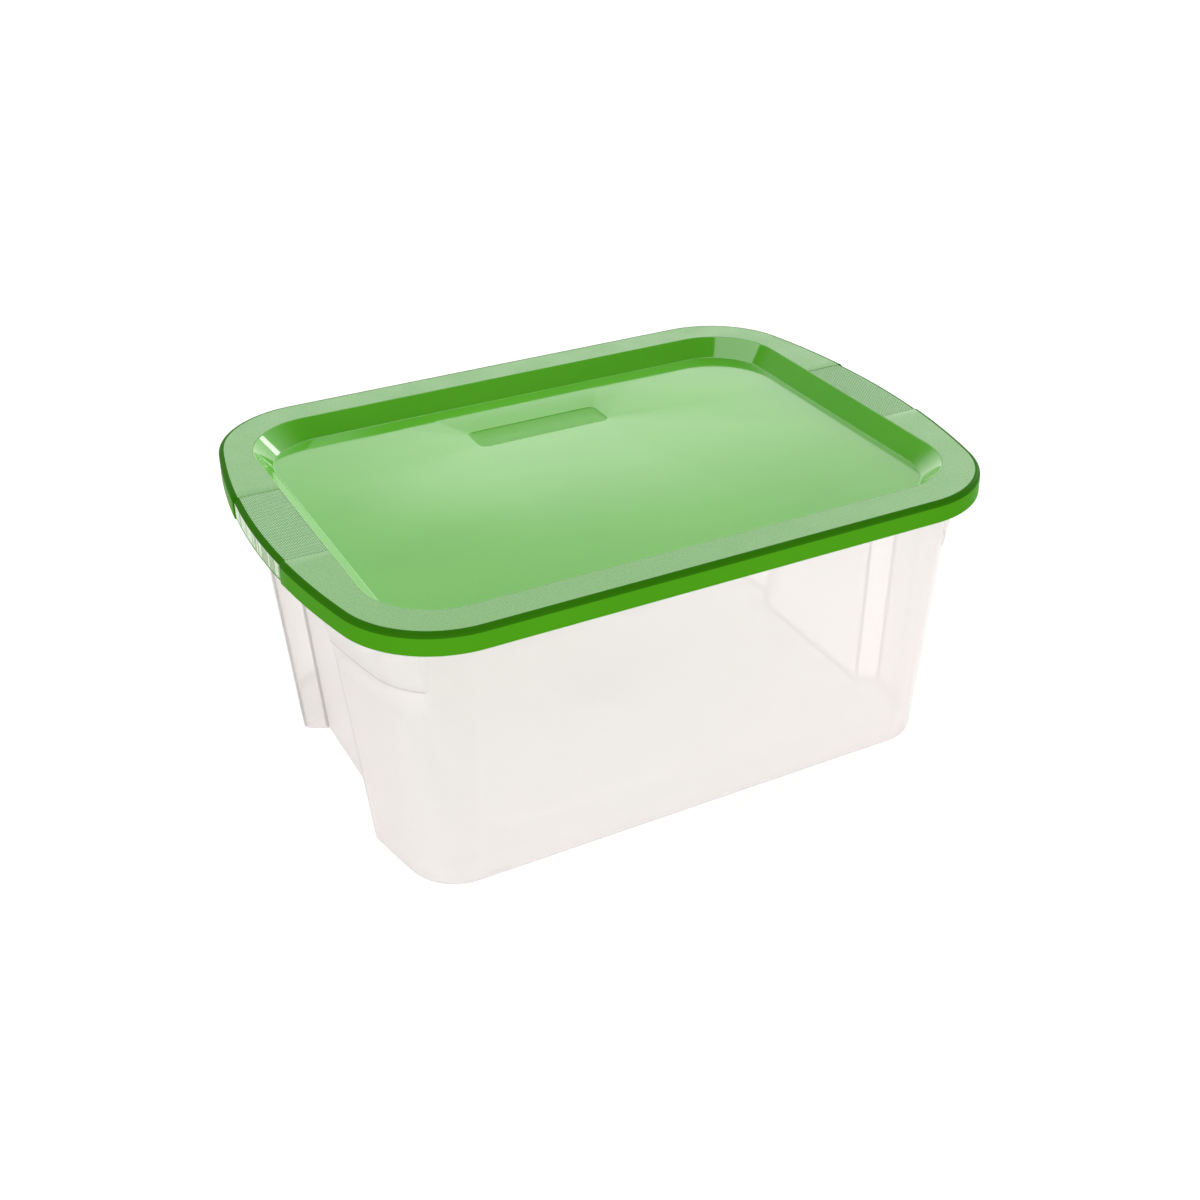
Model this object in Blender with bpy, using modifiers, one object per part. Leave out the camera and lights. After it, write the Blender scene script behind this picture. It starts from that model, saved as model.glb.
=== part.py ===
"""Snap lid food container: a drafted tub with two end hand grips, and a one-piece lid that snaps over its rim.

Metres, +Z up. The tub stands on the floor at z = 0 and the origin is the middle of its base.
X runs along the long side. Each piece is a quarter of a thin skin, lofted through plan outlines,
then mirrored across X and Y and thickened with Solidify.
"""

import math

import bmesh
import bpy
from mathutils import Vector

# Overall size. The grip zones at mid-end stand GRIP_STEP inside LENGTH.
LENGTH = 0.400
WIDTH = 0.294
HEIGHT = 0.172

# Plan of the lid: straight long sides, round corners and slightly bowed ends
CORNER_RADIUS = 0.0571
END_RADIUS = 0.443

# Lid
LID_WALL = 0.0018
SKIRT_HEIGHT = 0.0125
RIM_FILLET = 0.0027
RIM_INNER_HALF_LENGTH = 0.1717
RIM_INNER_HALF_WIDTH = 0.1247
RIM_INNER_RADIUS = 0.042
PANEL_DEPTH = 0.0106
PANEL_STEP = 0.0093
PANEL_RADIUS = 0.036
SLOPE_ROUND = 0.0006
GRIP_HALF_WIDTH = 0.0398
GRIP_STEP = 0.0008
STEP_WIDTH = 0.0002

# Snap beads inside the skirt, one along each long side
BEAD_LENGTH = 0.200
BEAD_RADIUS = 0.0012
BEAD_INSET = 0.0014
BEAD_ABOVE_SKIRT_EDGE = 0.0024
BEAD_SIDES = 12

# Shallow badge field on the lid panel
BADGE_LENGTH = 0.084
BADGE_WIDTH = 0.0225
BADGE_RADIUS = 0.0045
BADGE_DEPTH = 0.0004
BADGE_CENTRE_X = -0.0035
BADGE_CENTRE_Y = 0.0672
BADGE_CORNER_STEPS = 4

# Tub
TUB_WALL = 0.0017
DRAFT = 0.0877
BASE_INSET = 0.0273
BASE_SHORTER = 0.0010
BASE_FILLET = 0.0030
LID_GAP = 0.0004
LIP_OUTER_INSET = 0.0030
LIP_DROP = 0.0056

# Hand grip recess in each end of the tub
RECESS_X = 0.1550
RECESS_HALF_WIDTH = 0.0528
RETURN_ANGLE = math.radians(30.0)
RECESS_TOP = 0.1460
RECESS_CEILING_TOP = 0.1570
TIP_ROUND = 0.0022
CREASE_ROUND = 0.0025

# Flared collar below the rim at the corners
COLLAR_BOTTOM = 0.1285
COLLAR_LEDGE = 0.0006
COLLAR_STEP = 0.0007
COLLAR_FLARE = 0.075
COLLAR_END_ANGLE = math.radians(54.0)
COLLAR_END_STEP = math.radians(0.8)

# Raised field in the middle of the tub floor
FIELD_HALF_LENGTH = 0.1065
FIELD_HALF_WIDTH = 0.0830
FIELD_RADIUS = 0.014
FIELD_HEIGHT = 0.0014
FIELD_SLOPE = 0.0014

# Mesh steps
SIDE_STEPS = 3
CORNER_STEPS = 8
FILLET_STEPS = 3
TIP_STEPS = 2
TIP_SEARCH_STEPS = 20
SMOOTH_ANGLE = math.radians(28.0)
MERGE_DISTANCE = 0.00001

END_CENTRE_X = LENGTH / 2 - END_RADIUS
CORNER_Y = WIDTH / 2 - CORNER_RADIUS
CORNER_X = END_CENTRE_X + math.sqrt((END_RADIUS - CORNER_RADIUS) ** 2 - CORNER_Y**2)
END_ANGLE = math.atan2(CORNER_Y, CORNER_X - END_CENTRE_X)
SKIRT_BOTTOM = HEIGHT - SKIRT_HEIGHT
FLANGE_TOP = HEIGHT - LID_WALL - LID_GAP
FLANGE_BOTTOM = FLANGE_TOP - TUB_WALL

# Where the mesh points lie round a corner, from the long side to the end
CORNER_ANGLES = [
    math.pi / 2 + (END_ANGLE - math.pi / 2) * step / CORNER_STEPS
    for step in range(CORNER_STEPS + 1)
]
COLLAR_OUTSIDE_ANGLE = COLLAR_END_ANGLE + COLLAR_END_STEP / 2
COLLAR_INSIDE_ANGLE = COLLAR_END_ANGLE - COLLAR_END_STEP / 2
TUB_CORNER_ANGLES = sorted(
    CORNER_ANGLES + [COLLAR_OUTSIDE_ANGLE, COLLAR_INSIDE_ANGLE], reverse=True
)

# Where they lie on the ends, by their y
LID_END_Y = [0.074, GRIP_HALF_WIDTH + STEP_WIDTH, GRIP_HALF_WIDTH, 0.020, 0.0]
RIM_END_Y = [0.066, GRIP_HALF_WIDTH + STEP_WIDTH, GRIP_HALF_WIDTH, 0.020, 0.0]
TUB_END_Y = [0.088, 0.072]
TIP_FULL_Y = [0.0550, 0.0535, 0.0520]
CREASE_FULL_Y = [0.0470, 0.0450, 0.0430]
RECESS_BACK_Y = [0.020, 0.0]


def end_point(y, inset, shorter=0.0):
    """A point of the bowed end at this y, moved in from the lid's edge by the inset."""
    radius = END_RADIUS - inset
    return (END_CENTRE_X - shorter + math.sqrt(radius**2 - y**2), y)


def corner_point(angle, inset, shorter=0.0):
    radius = CORNER_RADIUS - inset
    x = CORNER_X - shorter + radius * math.cos(angle)
    return (x, CORNER_Y + radius * math.sin(angle))


def side_points(half_width):
    return [(CORNER_X * step / SIDE_STEPS, half_width) for step in range(SIDE_STEPS)]


def lid_edge(inset):
    """Quarter of the lid's outer edge, moved in by the inset, with the grip zone set in further."""
    points = side_points(WIDTH / 2 - inset)
    points += [corner_point(angle, inset) for angle in CORNER_ANGLES]
    for y in LID_END_Y:
        extra = GRIP_STEP if y <= GRIP_HALF_WIDTH else 0.0
        points.append(end_point(y, inset + extra))
    return points


def rim_rectangle(grow, radius):
    """Quarter of the rim's inner edge, moved out by grow. It has as many points as the lid's edge."""
    half_length = RIM_INNER_HALF_LENGTH + grow
    half_width = RIM_INNER_HALF_WIDTH + grow
    centre_x = half_length - radius
    centre_y = half_width - radius
    points = [(centre_x * step / SIDE_STEPS, half_width) for step in range(SIDE_STEPS)]
    for step in range(CORNER_STEPS + 1):
        angle = math.pi / 2 * (1 - step / CORNER_STEPS)
        x = centre_x + radius * math.cos(angle)
        points.append((x, centre_y + radius * math.sin(angle)))
    return points + [(half_length, y) for y in RIM_END_Y]


def round_off(corner, before, after, radius):
    """Points of the arc that rounds off a corner, starting on the side of the point before it."""
    corner = Vector(corner)
    u = (Vector(before) - corner).normalized()
    v = (Vector(after) - corner).normalized()
    half = u.angle(v) / 2
    centre = corner + (u + v).normalized() * (radius / math.sin(half))
    first = corner + u * (radius / math.tan(half)) - centre
    last = corner + v * (radius / math.tan(half)) - centre
    points = []
    for step in range(TIP_STEPS + 1):
        spoke = first.lerp(last, step / TIP_STEPS).normalized() * radius
        points.append(tuple(centre + spoke))
    return points


def crease_of_recess(offset):
    """Where the slanted return wall meets the flat back of the recess."""
    narrower = offset * (1 - math.sin(RETURN_ANGLE)) / math.cos(RETURN_ANGLE)
    return (RECESS_X + offset, RECESS_HALF_WIDTH - narrower)


def tip_of_recess(offset):
    """Where the return wall meets the bowed end, found by closing in on it along the return wall."""
    crease_x, crease_y = crease_of_recess(offset)
    y = crease_y
    for _ in range(TIP_SEARCH_STEPS):
        x = end_point(y, BASE_INSET - offset, BASE_SHORTER)[0]
        y = crease_y + (x - crease_x) * math.tan(RETURN_ANGLE)
    return (x, y)


def recess_points(offset, collar):
    tip = tip_of_recess(offset)
    crease = crease_of_recess(offset)
    beyond = end_point(TUB_END_Y[-1], BASE_INSET - offset, BASE_SHORTER)
    back = [(crease[0], y) for y in RECESS_BACK_Y]
    tips = round_off(tip, beyond, crease, TIP_ROUND)
    creases = round_off(crease, tip, back[-1], CREASE_ROUND)
    return [(x + collar, y) for x, y in tips] + creases + back


def full_end_points(offset, collar):
    """The end without its recess, with a point for each point of the recessed end."""
    inset = BASE_INSET - offset
    points = [end_point(y, inset - collar, BASE_SHORTER) for y in TIP_FULL_Y]
    flush = CREASE_FULL_Y + RECESS_BACK_Y
    return points + [end_point(y, inset, BASE_SHORTER) for y in flush]


def tub_outline(offset, collar=0.0, recessed=True):
    """Quarter of the tub's outside, with every wall moved out by the offset from its base."""
    inset = BASE_INSET - offset
    points = side_points(WIDTH / 2 - inset)
    for angle in TUB_CORNER_ANGLES:
        proud = 0.0 if angle >= COLLAR_OUTSIDE_ANGLE else collar
        points.append(corner_point(angle, inset - proud, BASE_SHORTER))
    points += [end_point(y, inset - collar, BASE_SHORTER) for y in TUB_END_Y]
    if recessed:
        return points + recess_points(offset, collar)
    return points + full_end_points(offset, collar)


def floor_field(grow):
    """Quarter of the raised field, with one point on the ray to each point of the base."""
    points = []
    for x, y in tub_outline(0.0):
        angle = math.atan2(y, x)
        reach = reach_in_field(angle, grow)
        points.append((reach * math.cos(angle), reach * math.sin(angle)))
    points[0] = (0.0, points[0][1])
    return points


def reach_in_field(angle, grow):
    """Distance from the middle to the edge of the round-cornered field, along a ray."""
    half_length = FIELD_HALF_LENGTH + grow
    half_width = FIELD_HALF_WIDTH + grow
    radius = FIELD_RADIUS + grow
    c, s = math.cos(angle), math.sin(angle)
    if c * half_width > s * half_length:
        reach = half_length / c
    else:
        reach = half_width / s
    centre_x, centre_y = half_length - radius, half_width - radius
    if reach * c > centre_x and reach * s > centre_y:
        along = c * centre_x + s * centre_y
        reach = along + math.sqrt(radius**2 - (centre_x**2 + centre_y**2 - along**2))
    return reach


def at_height(points, z):
    return [(x, y, z) for x, y in points]


def collar_at(z):
    return COLLAR_STEP + COLLAR_FLARE * (z - COLLAR_BOTTOM)


def quarter_turn():
    """Angles of a fillet's points, from 0 to 90 degrees."""
    return [math.pi / 2 * step / FILLET_STEPS for step in range(FILLET_STEPS + 1)]


def tub_strips():
    """Outside of the tub from its raised floor field, up the wall and round the turned-down lip."""
    strips = [at_height(floor_field(0.0), FIELD_HEIGHT)]
    strips.append(at_height(floor_field(FIELD_SLOPE), 0.0))
    for turn in quarter_turn():
        z = BASE_FILLET * (1 - math.cos(turn))
        back = BASE_FILLET * (1 - math.sin(turn))
        strips.append(at_height(tub_outline(DRAFT * BASE_FILLET - back), z))
    z = COLLAR_BOTTOM - COLLAR_LEDGE
    strips.append(at_height(tub_outline(DRAFT * z), z))
    for z in (COLLAR_BOTTOM, RECESS_TOP):
        strips.append(at_height(tub_outline(DRAFT * z, collar_at(z)), z))
    for z in (RECESS_CEILING_TOP, FLANGE_BOTTOM):
        outline = tub_outline(DRAFT * z, collar_at(z), recessed=False)
        strips.append(at_height(outline, z))
    lip = tub_outline(BASE_INSET - LIP_OUTER_INSET - TUB_WALL, recessed=False)
    strips.append(at_height(lip, FLANGE_BOTTOM))
    strips.append(at_height(lip, FLANGE_TOP - LIP_DROP))
    return strips


def lid_strips():
    """Top of the lid from its sunk panel, up the slope, over the rim and down the skirt."""
    panel = HEIGHT - PANEL_DEPTH
    strips = [
        at_height(rim_rectangle(-PANEL_STEP - SLOPE_ROUND, PANEL_RADIUS), panel),
        at_height(rim_rectangle(-PANEL_STEP + SLOPE_ROUND, PANEL_RADIUS), panel + SLOPE_ROUND),
        at_height(rim_rectangle(-SLOPE_ROUND, RIM_INNER_RADIUS), HEIGHT - SLOPE_ROUND),
        at_height(rim_rectangle(SLOPE_ROUND, RIM_INNER_RADIUS), HEIGHT),
    ]
    for turn in quarter_turn():
        inset = RIM_FILLET * (1 - math.sin(turn))
        z = HEIGHT - RIM_FILLET * (1 - math.cos(turn))
        strips.append(at_height(lid_edge(inset), z))
    strips.append(at_height(lid_edge(0.0), SKIRT_BOTTOM))
    return strips


def quarter_skin(name, strips, faces_up):
    """A quarter skin through the strips. The first strip is closed to the middle by one flat face."""
    bm = bmesh.new()
    rows = [[bm.verts.new(point) for point in strip] for strip in strips]
    middle = bm.verts.new((0.0, 0.0, strips[0][0][2]))
    faces = [[middle] + list(reversed(rows[0]))]
    for inner, outer in zip(rows, rows[1:]):
        for i in range(len(inner) - 1):
            faces.append([inner[i], inner[i + 1], outer[i + 1], outer[i]])
    for face in faces:
        bm.faces.new(face if faces_up else list(reversed(face)))
    mesh = bpy.data.meshes.new(name)
    bm.to_mesh(mesh)
    bm.free()
    return bpy.data.objects.new(name, mesh)


def mirror_to_whole(obj):
    mirror = obj.modifiers.new("four_quarters", "MIRROR")
    mirror.use_axis = (True, True, False)
    mirror.merge_threshold = MERGE_DISTANCE


def thicken(obj, thickness):
    """Adds the wall behind the skin, so the skin's own size stays."""
    solidify = obj.modifiers.new("wall", "SOLIDIFY")
    solidify.thickness = thickness
    solidify.offset = -1.0
    solidify.use_even_offset = True
    solidify.use_quality_normals = True


def smooth(obj):
    obj.data.shade_smooth()
    obj.data.set_sharp_from_angle(angle=SMOOTH_ANGLE)


def join_or_cut(target, tool, operation):
    modifier = target.modifiers.new(tool.name, "BOOLEAN")
    modifier.operation = operation
    modifier.solver = "EXACT"
    modifier.object = tool


def snap_bead(name, side):
    """Rod along one long side, sunk into the skirt so that part of it stands proud inside."""
    bm = bmesh.new()
    bmesh.ops.create_cone(
        bm,
        cap_ends=True,
        segments=BEAD_SIDES,
        radius1=BEAD_RADIUS,
        radius2=BEAD_RADIUS,
        depth=BEAD_LENGTH,
    )
    bead = helper(name, bm)
    bead.rotation_euler = (0.0, math.pi / 2, 0.0)
    y = side * (WIDTH / 2 - BEAD_INSET)
    bead.location = (0.0, y, SKIRT_BOTTOM + BEAD_ABOVE_SKIRT_EDGE)
    return bead


def badge_cutter():
    """Round-cornered slab that sinks the badge field into the lid panel."""
    bm = bmesh.new()
    bmesh.ops.create_cube(bm, size=1.0)
    bmesh.ops.scale(bm, vec=(BADGE_LENGTH, BADGE_WIDTH, 2 * BADGE_DEPTH), verts=bm.verts)
    upright = [edge for edge in bm.edges if is_upright(edge)]
    bmesh.ops.bevel(
        bm,
        geom=upright,
        offset=BADGE_RADIUS,
        segments=BADGE_CORNER_STEPS,
        affect="EDGES",
        profile=0.5,
    )
    cutter = helper("badge_field", bm)
    cutter.location = (BADGE_CENTRE_X, BADGE_CENTRE_Y, HEIGHT - PANEL_DEPTH)
    return cutter


def is_upright(edge):
    first, second = edge.verts
    return abs(first.co.z - second.co.z) > BADGE_DEPTH


def helper(name, bm):
    mesh = bpy.data.meshes.new(name)
    bm.to_mesh(mesh)
    bm.free()
    obj = bpy.data.objects.new(name, mesh)
    obj.hide_render = True
    obj.display_type = "WIRE"
    return obj


def plastic(name, colour, roughness):
    material = bpy.data.materials.new(name)
    material.use_nodes = True
    shader = material.node_tree.nodes["Principled BSDF"]
    shader.inputs["Base Color"].default_value = (*colour, 1.0)
    shader.inputs["Roughness"].default_value = roughness
    shader.inputs["Metallic"].default_value = 0.0
    return material


def clear_scene():
    for obj in list(bpy.data.objects):
        bpy.data.objects.remove(obj, do_unlink=True)


def new_collection(name):
    collection = bpy.data.collections.new(name)
    bpy.context.scene.collection.children.link(collection)
    return collection


def make_tub(parts):
    tub = quarter_skin("tub", tub_strips(), faces_up=False)
    tub.data.materials.append(plastic("clear_tub", (0.86, 0.88, 0.87), 0.32))
    mirror_to_whole(tub)
    thicken(tub, TUB_WALL)
    smooth(tub)
    parts.objects.link(tub)


def make_lid(parts, helpers):
    lid = quarter_skin("lid", lid_strips(), faces_up=True)
    lid.data.materials.append(plastic("green_lid", (0.09, 0.36, 0.03), 0.38))
    mirror_to_whole(lid)
    thicken(lid, LID_WALL)
    smooth(lid)
    parts.objects.link(lid)
    for name, side in (("front_snap_bead", -1), ("back_snap_bead", 1)):
        bead = snap_bead(name, side)
        helpers.objects.link(bead)
        join_or_cut(lid, bead, "UNION")
    cutter = badge_cutter()
    helpers.objects.link(cutter)
    join_or_cut(lid, cutter, "DIFFERENCE")


def main():
    clear_scene()
    parts = new_collection("snap_lid_food_container")
    helpers = new_collection("cutters_and_joined_shapes")
    make_tub(parts)
    make_lid(parts, helpers)


main()
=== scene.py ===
"""Looks of the snap lid food container: a translucent drafted tub and a green snap lid, on a pale floor.

Metres, +Z up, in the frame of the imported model. Each piece is a closed body lofted through rings.
A ring is a plan outline of the object, written as a quarter from the long side to the end and
repeated in the four quarters. The outlines follow one another through a rounded profile.
"""

import math

import bmesh
import bpy
import numpy as np
from mathutils import Matrix, Vector


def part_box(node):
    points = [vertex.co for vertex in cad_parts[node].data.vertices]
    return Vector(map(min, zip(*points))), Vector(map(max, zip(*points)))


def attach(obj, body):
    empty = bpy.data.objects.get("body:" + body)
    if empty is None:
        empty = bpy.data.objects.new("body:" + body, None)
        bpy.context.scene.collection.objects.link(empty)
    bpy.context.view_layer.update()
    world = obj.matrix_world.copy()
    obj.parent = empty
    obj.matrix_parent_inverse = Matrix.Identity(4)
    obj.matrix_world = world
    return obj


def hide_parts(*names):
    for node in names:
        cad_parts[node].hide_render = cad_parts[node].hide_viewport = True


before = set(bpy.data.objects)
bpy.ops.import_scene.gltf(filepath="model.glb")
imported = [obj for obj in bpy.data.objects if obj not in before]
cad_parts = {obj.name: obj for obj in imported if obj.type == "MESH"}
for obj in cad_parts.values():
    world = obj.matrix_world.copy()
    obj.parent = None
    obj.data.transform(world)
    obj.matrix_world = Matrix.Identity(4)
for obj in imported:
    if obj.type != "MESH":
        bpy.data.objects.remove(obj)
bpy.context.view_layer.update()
lid_low, lid_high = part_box("lid")
tub_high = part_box("tub")[1]

# Overall size, from the frame. The grip zones at mid-end stand GRIP_STEP inside the lid's edge.
GRIP_STEP = 0.0008
HALF_LENGTH = lid_high.x + GRIP_STEP
HALF_WIDTH = lid_high.y
TOP = lid_high.z
SKIRT_BOTTOM = lid_low.z
FLANGE_TOP = tub_high.z
LIP_EDGE_Y = tub_high.y

# Plan of the lid's edge: straight long sides, round corners and slightly bowed ends
CORNER_RADIUS = 0.0571
END_RADIUS = 0.443
END_CENTRE_X = HALF_LENGTH - END_RADIUS
CORNER_Y = HALF_WIDTH - CORNER_RADIUS
CORNER_X = END_CENTRE_X + math.sqrt((END_RADIUS - CORNER_RADIUS) ** 2 - CORNER_Y**2)
END_ANGLE = math.atan2(CORNER_Y, CORNER_X - END_CENTRE_X)

# Lid: a sunk panel, a sloped wall up to a flat rim, a rounded edge and a skirt. The underside of
# the sloped wall lies UNDER_SHIFT further out, which keeps the wall's thickness.
LID_WALL = 0.0018
RIM_FILLET = 0.0027
RIM_INNER_HALF_LENGTH = 0.1717
RIM_INNER_HALF_WIDTH = 0.1247
RIM_INNER_RADIUS = 0.042
PANEL_RADIUS = 0.036
PANEL_DEPTH = 0.0106
PANEL_STEP = 0.0093
PANEL = TOP - PANEL_DEPTH
UNDER_SHIFT = 0.0008
SLOPE_TOP_ROUND = 0.0009
SLOPE_FOOT_ROUND = 0.0012
SKIRT_EDGE_ROUND = 0.0005
RIM_ROWS = 66
SKIRT_ROWS = 14
FILLET_BANDS = 11

# How far from a turn the next ring lies, so that the flat beside the turn stays flat
SUPPORT = 0.0003

# Grip zones of the lid: fine diamond knurl on top and upright ribs on the skirt
GRIP_HALF_WIDTH = 0.0398
GRIP_SINK = 0.00030
RIB_PITCH = 0.0020
RIB_STEPS = 6
RIB_DEPTH = 0.00045
RIB_FOOT = 0.0006
KNURL_STEPS = 6
KNURL_HEIGHT = 0.00028
KNURL_TIP_SHARE = 0.375
KNURL_MARGIN_ROWS = 2

# Snap beads inside the skirt, along the long sides. They are parts of a round bar.
BEAD_HALF_LENGTH = 0.100
BEAD_RADIUS = 0.0012
BEAD_INSET = 0.0014
BEAD_Z = SKIRT_BOTTOM + 0.0024
BEAD_TAPER = 0.004
BEAD_COLUMNS = 4
BEAD_ROWS = 9

# Badge field sunk into the panel
BADGE_HALF_LENGTH = 0.042
BADGE_HALF_WIDTH = 0.01125
BADGE_RADIUS = 0.0045
BADGE_DEPTH = 0.0004
BADGE_CENTRE = (-0.0035, 0.0672)

# From the panel to the badge field's floor: metres out from the field's edge, and share of its depth
BADGE_PROFILE = ((0.0004, 0.0), (0.0001, 0.06), (-0.0001, 0.3), (-0.0003, 0.85), (-0.0005, 1.0))

# Tub: drafted walls, which start BASE_INSET inside the lid's edge, and a flange with a lip
TUB_WALL = 0.0017
DRAFT = 0.0877
BASE_INSET = 0.0273
BASE_SHORTER = 0.0010
BASE_FILLET = 0.0030
BASE_FILLET_ROWS = 7
LIP_DROP = 0.0056
LIP_INSET = HALF_WIDTH - LIP_EDGE_Y
LIP_ROUND = 0.0010
LIP_EDGE_ROUND = 0.0005
LIP_ROUND_ROWS = 5

# Hand grip recess in each end of the tub: a flat back, two slanted return walls and a ceiling
RECESS_X = 0.1550
RECESS_HALF_WIDTH = 0.0528
RETURN_ANGLE = math.radians(30.0)
RECESS_TOP = 0.1460
CEILING_TOP = 0.1570
TIP_ROUND = 0.0024
TIP_SEARCH_STEPS = 20
CREASE_ROUND = 0.0025
CEILING_LIFT = 0.0019
CEILING_SOFTNESS = 0.3

# Flared collar below the rim at the corners of the tub. It starts with a ledge, and the ledge and the
# line just above it are more milky and painted darker, as a painted shadow line.
COLLAR_BOTTOM = 0.1285
COLLAR_LEDGE = 0.0006
COLLAR_LINE = 0.0007
COLLAR_STEP = 0.0007
COLLAR_FLARE = 0.075
COLLAR_END_ANGLE = math.radians(54.0)
COLLAR_END_STEP = math.radians(6.0)

# Bands of the tub's wall between its heights
STRAIGHT_ROWS = 8
LEDGE_ROWS = 4
COLLAR_ROWS = 4
CEILING_ROWS = 10

# Raised field in the middle of the tub floor
FIELD_HALF_LENGTH = 0.1065
FIELD_HALF_WIDTH = 0.0830
FIELD_RADIUS = 0.014
FIELD_HEIGHT = 0.0014
FIELD_SLOPE = 0.0014

# Down the field's slanted edge: share of the way out over the slope, and share of the height
FIELD_PROFILE = (
    (-SUPPORT / FIELD_SLOPE, 1.0),
    (0.0, 1.0),
    (0.3, 0.85),
    (0.7, 0.15),
    (1.0, 0.0),
    (1.3, 0.0),
)

# Gate mark, where the plastic entered the mould
GATE_RADIUS = 0.006
GATE_DEPTH = 0.0005

# From the gate mark's edge to the nub in its middle: shares of its radius and of its depth
GATE_RADII = (1.0, 0.94, 0.86, 0.24, 0.20, 0.16, 0.13)
GATE_DEPTHS = (0.0, 0.6, 1.0, 1.0, 0.85, 0.4, 0.3)

# An edge that turns by more than this stays sharp
SHARP_ANGLE = math.radians(50.0)

# Share of an edge's room that a rounding takes, so that no two of its points meet
JUST_UNDER = 0.99

# Keeps a division away from 0
TINY = 1e-9

# Most clear walls that a ray of light goes through
MOST_LAYERS = 24

# Camera: where it stands, how it is turned and how far its picture is shifted
CAMERA_PLACE = (-0.3884, -0.7732, 0.5795)
CAMERA_HEADING = math.radians(28.66)
CAMERA_DOWN = math.radians(27.59)
CAMERA_ROLL = math.radians(-0.087)
CAMERA_LENS = 50.33
CAMERA_SENSOR = 36.0
CAMERA_SHIFT = (-0.0394, -0.0668)

# Floor: a grey sheet that glows from above, just under the tub
FLOOR_HALF_SIZE = 8.0
FLOOR_GAP = 0.0002
FLOOR_GREY = (0.25, 0.25, 0.25)
FLOOR_ROUGHNESS = 0.9
FLOOR_GLOW = 0.87

# Room: its light grows from the front to the back and is stronger low down. Heights are those of
# a unit direction, and the spread is how far one points to the back.
BACK_DIRECTION = (0.66, 0.69, -0.30)
BACK_SPREAD = (-0.2, 0.8)
BACK_LIGHT = 1.35
FRONT_LIGHT = 0.12
LOW_GLOW = 1.5
LOW_GLOW_HEIGHTS = (0.38, 0.46)
HORIZON_HEIGHTS = (-0.02, 0.0)
UNDER_LIGHT = 0.55
BACKDROP = 0.95

# Softboxes, which all face the middle of the object: name, place, size in metres, watts and colour
WHITE = (1.0, 1.0, 1.0)
WARM_WHITE = (1.0, 0.965, 0.965)
SOFTBOX_TARGET = (0.0, 0.0, 0.1)
SOFTBOXES = (
    ("top_softbox", (-0.41, 0.51, 2.09), (2.0, 2.0), 27.0, WHITE),
    ("right_softbox", (1.85, 0.75, 0.8), (0.6, 1.0), 13.0, WHITE),
    ("front_softbox", (-0.3, -2.0, 0.35), (1.2, 0.8), 19.5, WARM_WHITE),
    ("left_softbox", (-1.9, -0.1, 0.45), (0.8, 0.6), 5.5, WARM_WHITE),
)


# ---------------------------------------------------------------- plan outlines of a quarter


def end_points(y, inset, shorter=0.0):
    """Points of the bowed end. The inset is one number, or one for each point."""
    radius = END_RADIUS - inset
    return np.column_stack([END_CENTRE_X - shorter + np.sqrt(radius**2 - y**2), y])


def corner_points(angles, inset, shorter=0.0):
    radius = CORNER_RADIUS - inset
    x = CORNER_X - shorter + radius * np.cos(angles)
    return np.column_stack([x, CORNER_Y + radius * np.sin(angles)])


def side_points(x, half_width):
    return np.column_stack([x, np.full(len(x), half_width)])


def at_height(plan, z):
    return np.column_stack([plan, np.broadcast_to(z, len(plan))])


def rounded(corners, radii, steps):
    """The polyline through the corners, with an arc of its radius at each inner corner."""
    points = [Vector(corners[0])]
    for before, here, after, radius in zip(corners, corners[1:], corners[2:], radii):
        corner = Vector(here)
        u = (Vector(before) - corner).normalized()
        v = (Vector(after) - corner).normalized()
        half = u.angle(v) / 2
        centre = corner + (u + v).normalized() * (radius / math.sin(half))
        first = corner + u * (radius / math.tan(half)) - centre
        last = corner + v * (radius / math.tan(half)) - centre
        for step in range(steps + 1):
            spoke = first.lerp(last, step / steps).normalized()
            points.append(centre + spoke * radius)
    points.append(Vector(corners[-1]))
    return [tuple(point) for point in points]


def ramp(value, start, end):
    """0 before start and 1 after end, turning smoothly in between."""
    share = np.clip((value - start) / (end - start), 0.0, 1.0)
    return share * share * (3 - 2 * share)


# ---------------------------------------------------------------- quarter rings into a closed body


def whole_ring(quarter):
    """A closed ring from its quarter, which runs from the middle of a side to the middle of an end."""
    back = quarter[::-1][1:]
    right = np.concatenate([quarter, back * (1, -1, 1)])
    left = np.concatenate([quarter[1:] * (-1, -1, 1), (back * (-1, 1, 1))[:-1]])
    return np.concatenate([right, left])


def whole_slots(quarter):
    back = quarter[::-1]
    return np.concatenate([quarter, back, quarter, back])


def loft(name, quarters, slots, first_cap, last_cap):
    """A closed body through the rings. slots holds the material slots of each band, by column."""
    rings = [whole_ring(quarter) for quarter in quarters]
    count = len(rings[0])
    here = np.arange(count)
    there = np.roll(here, -1)
    quads = []
    for band in range(len(rings) - 1):
        low, high = band * count, (band + 1) * count
        quads.append(np.column_stack([low + here, high + here, high + there, low + there]))
    mesh = bpy.data.meshes.new(name)
    mesh.from_pydata(np.concatenate(rings).tolist(), [], np.concatenate(quads).tolist())
    bands = np.concatenate([whole_slots(band) for band in slots])
    mesh.polygons.foreach_set("material_index", bands.astype(np.int32))
    bm = bmesh.new()
    bm.from_mesh(mesh)
    bm.verts.ensure_lookup_table()
    first = bm.verts[:count]
    last = bm.verts[-count:]
    first_cap(bm, first)
    last_cap(bm, last)
    bmesh.ops.recalc_face_normals(bm, faces=bm.faces)
    bm.to_mesh(mesh)
    bm.free()
    mesh.shade_smooth()
    obj = bpy.data.objects.new(name, mesh)
    bpy.context.scene.collection.objects.link(obj)
    return obj


def edge_loop(bm, verts):
    pairs = list(zip(verts, verts[1:] + verts[:1]))
    return [bm.edges.get(pair) or bm.edges.new(pair) for pair in pairs]


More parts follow.
